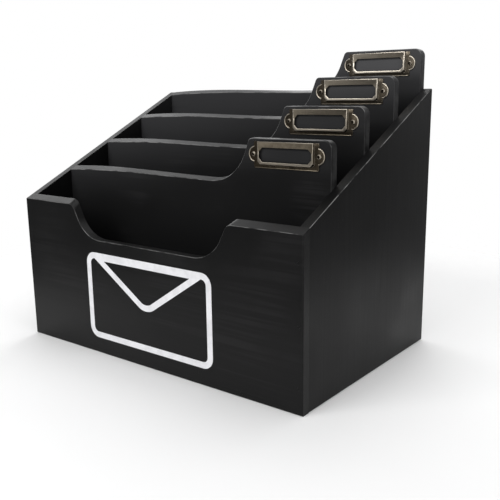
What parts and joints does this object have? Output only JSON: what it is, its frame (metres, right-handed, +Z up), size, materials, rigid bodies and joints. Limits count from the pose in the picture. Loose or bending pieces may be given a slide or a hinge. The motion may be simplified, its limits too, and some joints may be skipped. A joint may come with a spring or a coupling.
{
  "type": "mail organizer",
  "caption": "Desk letter sorter of black painted boards with a scooped front, stepped dividers rising to the back, and raised end tabs that carry brass label frames.",
  "frame": {"origin": "middle of the footprint, on the surface that the organizer stands on", "axes": "+X to the viewer's right along the front panel, +Y from the front panel to the back panel, +Z up"},
  "size_m": [0.28, 0.18, 0.2351],
  "materials": {
    "black_painted_wood": "satin black paint over fine-grained board, edges slightly rubbed",
    "antique_brass": "antique brass, dark in the recesses and rubbed bright on the rims",
    "screw_brass": "antique brass screw heads, dark in the cross recess",
    "brad_steel": "plain steel, heads flush and painted over black"
  },
  "bodies": {
    "root": {"front_panel": "black_painted_wood", "left_side_panel": "black_painted_wood", "right_side_panel": "black_painted_wood", "back_panel": "black_painted_wood", "bottom_panel": "black_painted_wood", "divider_front": "black_painted_wood", "divider_middle": "black_painted_wood", "divider_rear": "black_painted_wood", "label_holder_front": "antique_brass", "label_holder_middle": "antique_brass", "label_holder_rear": "antique_brass", "label_holder_back": "antique_brass", "label_screws_front": "screw_brass", "label_screws_middle": "screw_brass", "label_screws_rear": "screw_brass", "label_screws_back": "screw_brass", "brads_front": "brad_steel", "brads_back": "brad_steel", "brads_left": "brad_steel", "brads_right": "brad_steel"}
  },
  "joints": []
}
